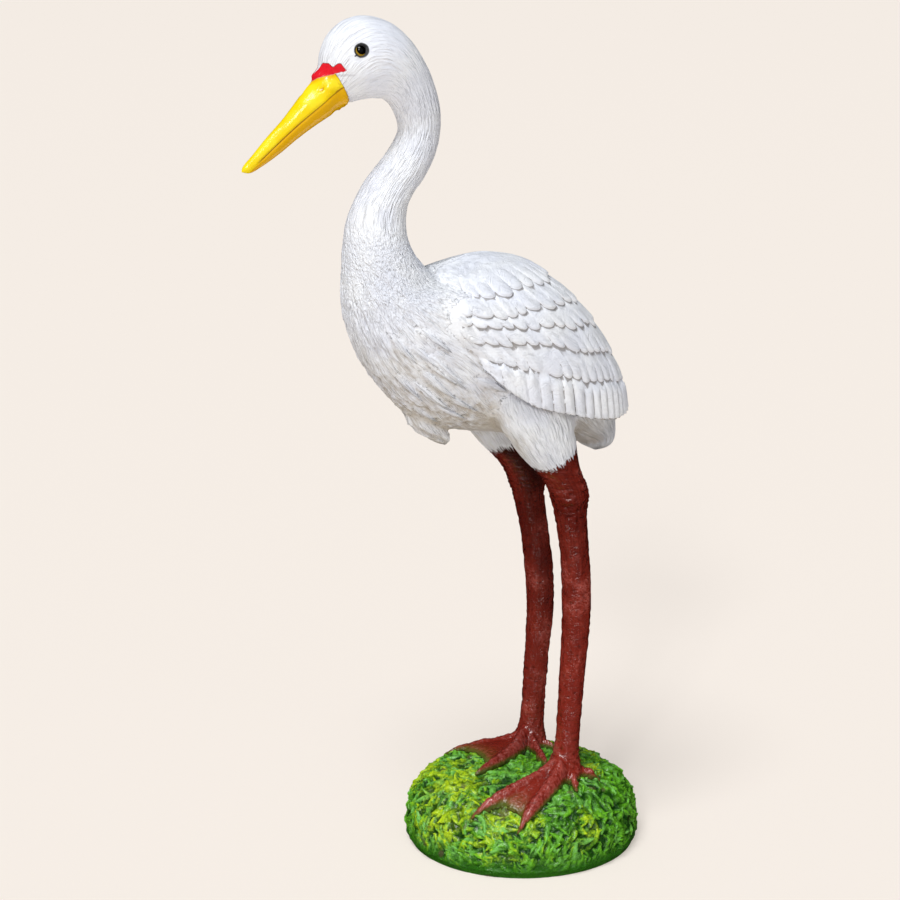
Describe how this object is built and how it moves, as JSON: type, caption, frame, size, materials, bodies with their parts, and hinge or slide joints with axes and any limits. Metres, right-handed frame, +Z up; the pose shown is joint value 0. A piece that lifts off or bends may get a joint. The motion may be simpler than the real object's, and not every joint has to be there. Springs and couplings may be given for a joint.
{
  "type": "stork garden statue",
  "caption": "Standing stork garden statue, cast and painted, with folded wings, long legs and glass eyes, on a low round mound of grass.",
  "frame": {"origin": "middle of the mound's flat underside", "axes": "+Z up; -Y is where the bird looks; +X is the bird's own left"},
  "size_m": [0.2365, 0.4146, 0.8385],
  "materials": {
    "painted_casting": "white paint in a soft gloss over cast resin; yellow bill, red face patch and red-brown legs are paint too",
    "grass_paint": "glossy green paint with yellow-green strokes over cast resin",
    "eye_glass": "polished dark eye with an amber iris"
  },
  "bodies": {
    "root": {"stork": "painted_casting", "grass_mound": "grass_paint", "eye_left": "eye_glass", "eye_right": "eye_glass"}
  },
  "joints": []
}
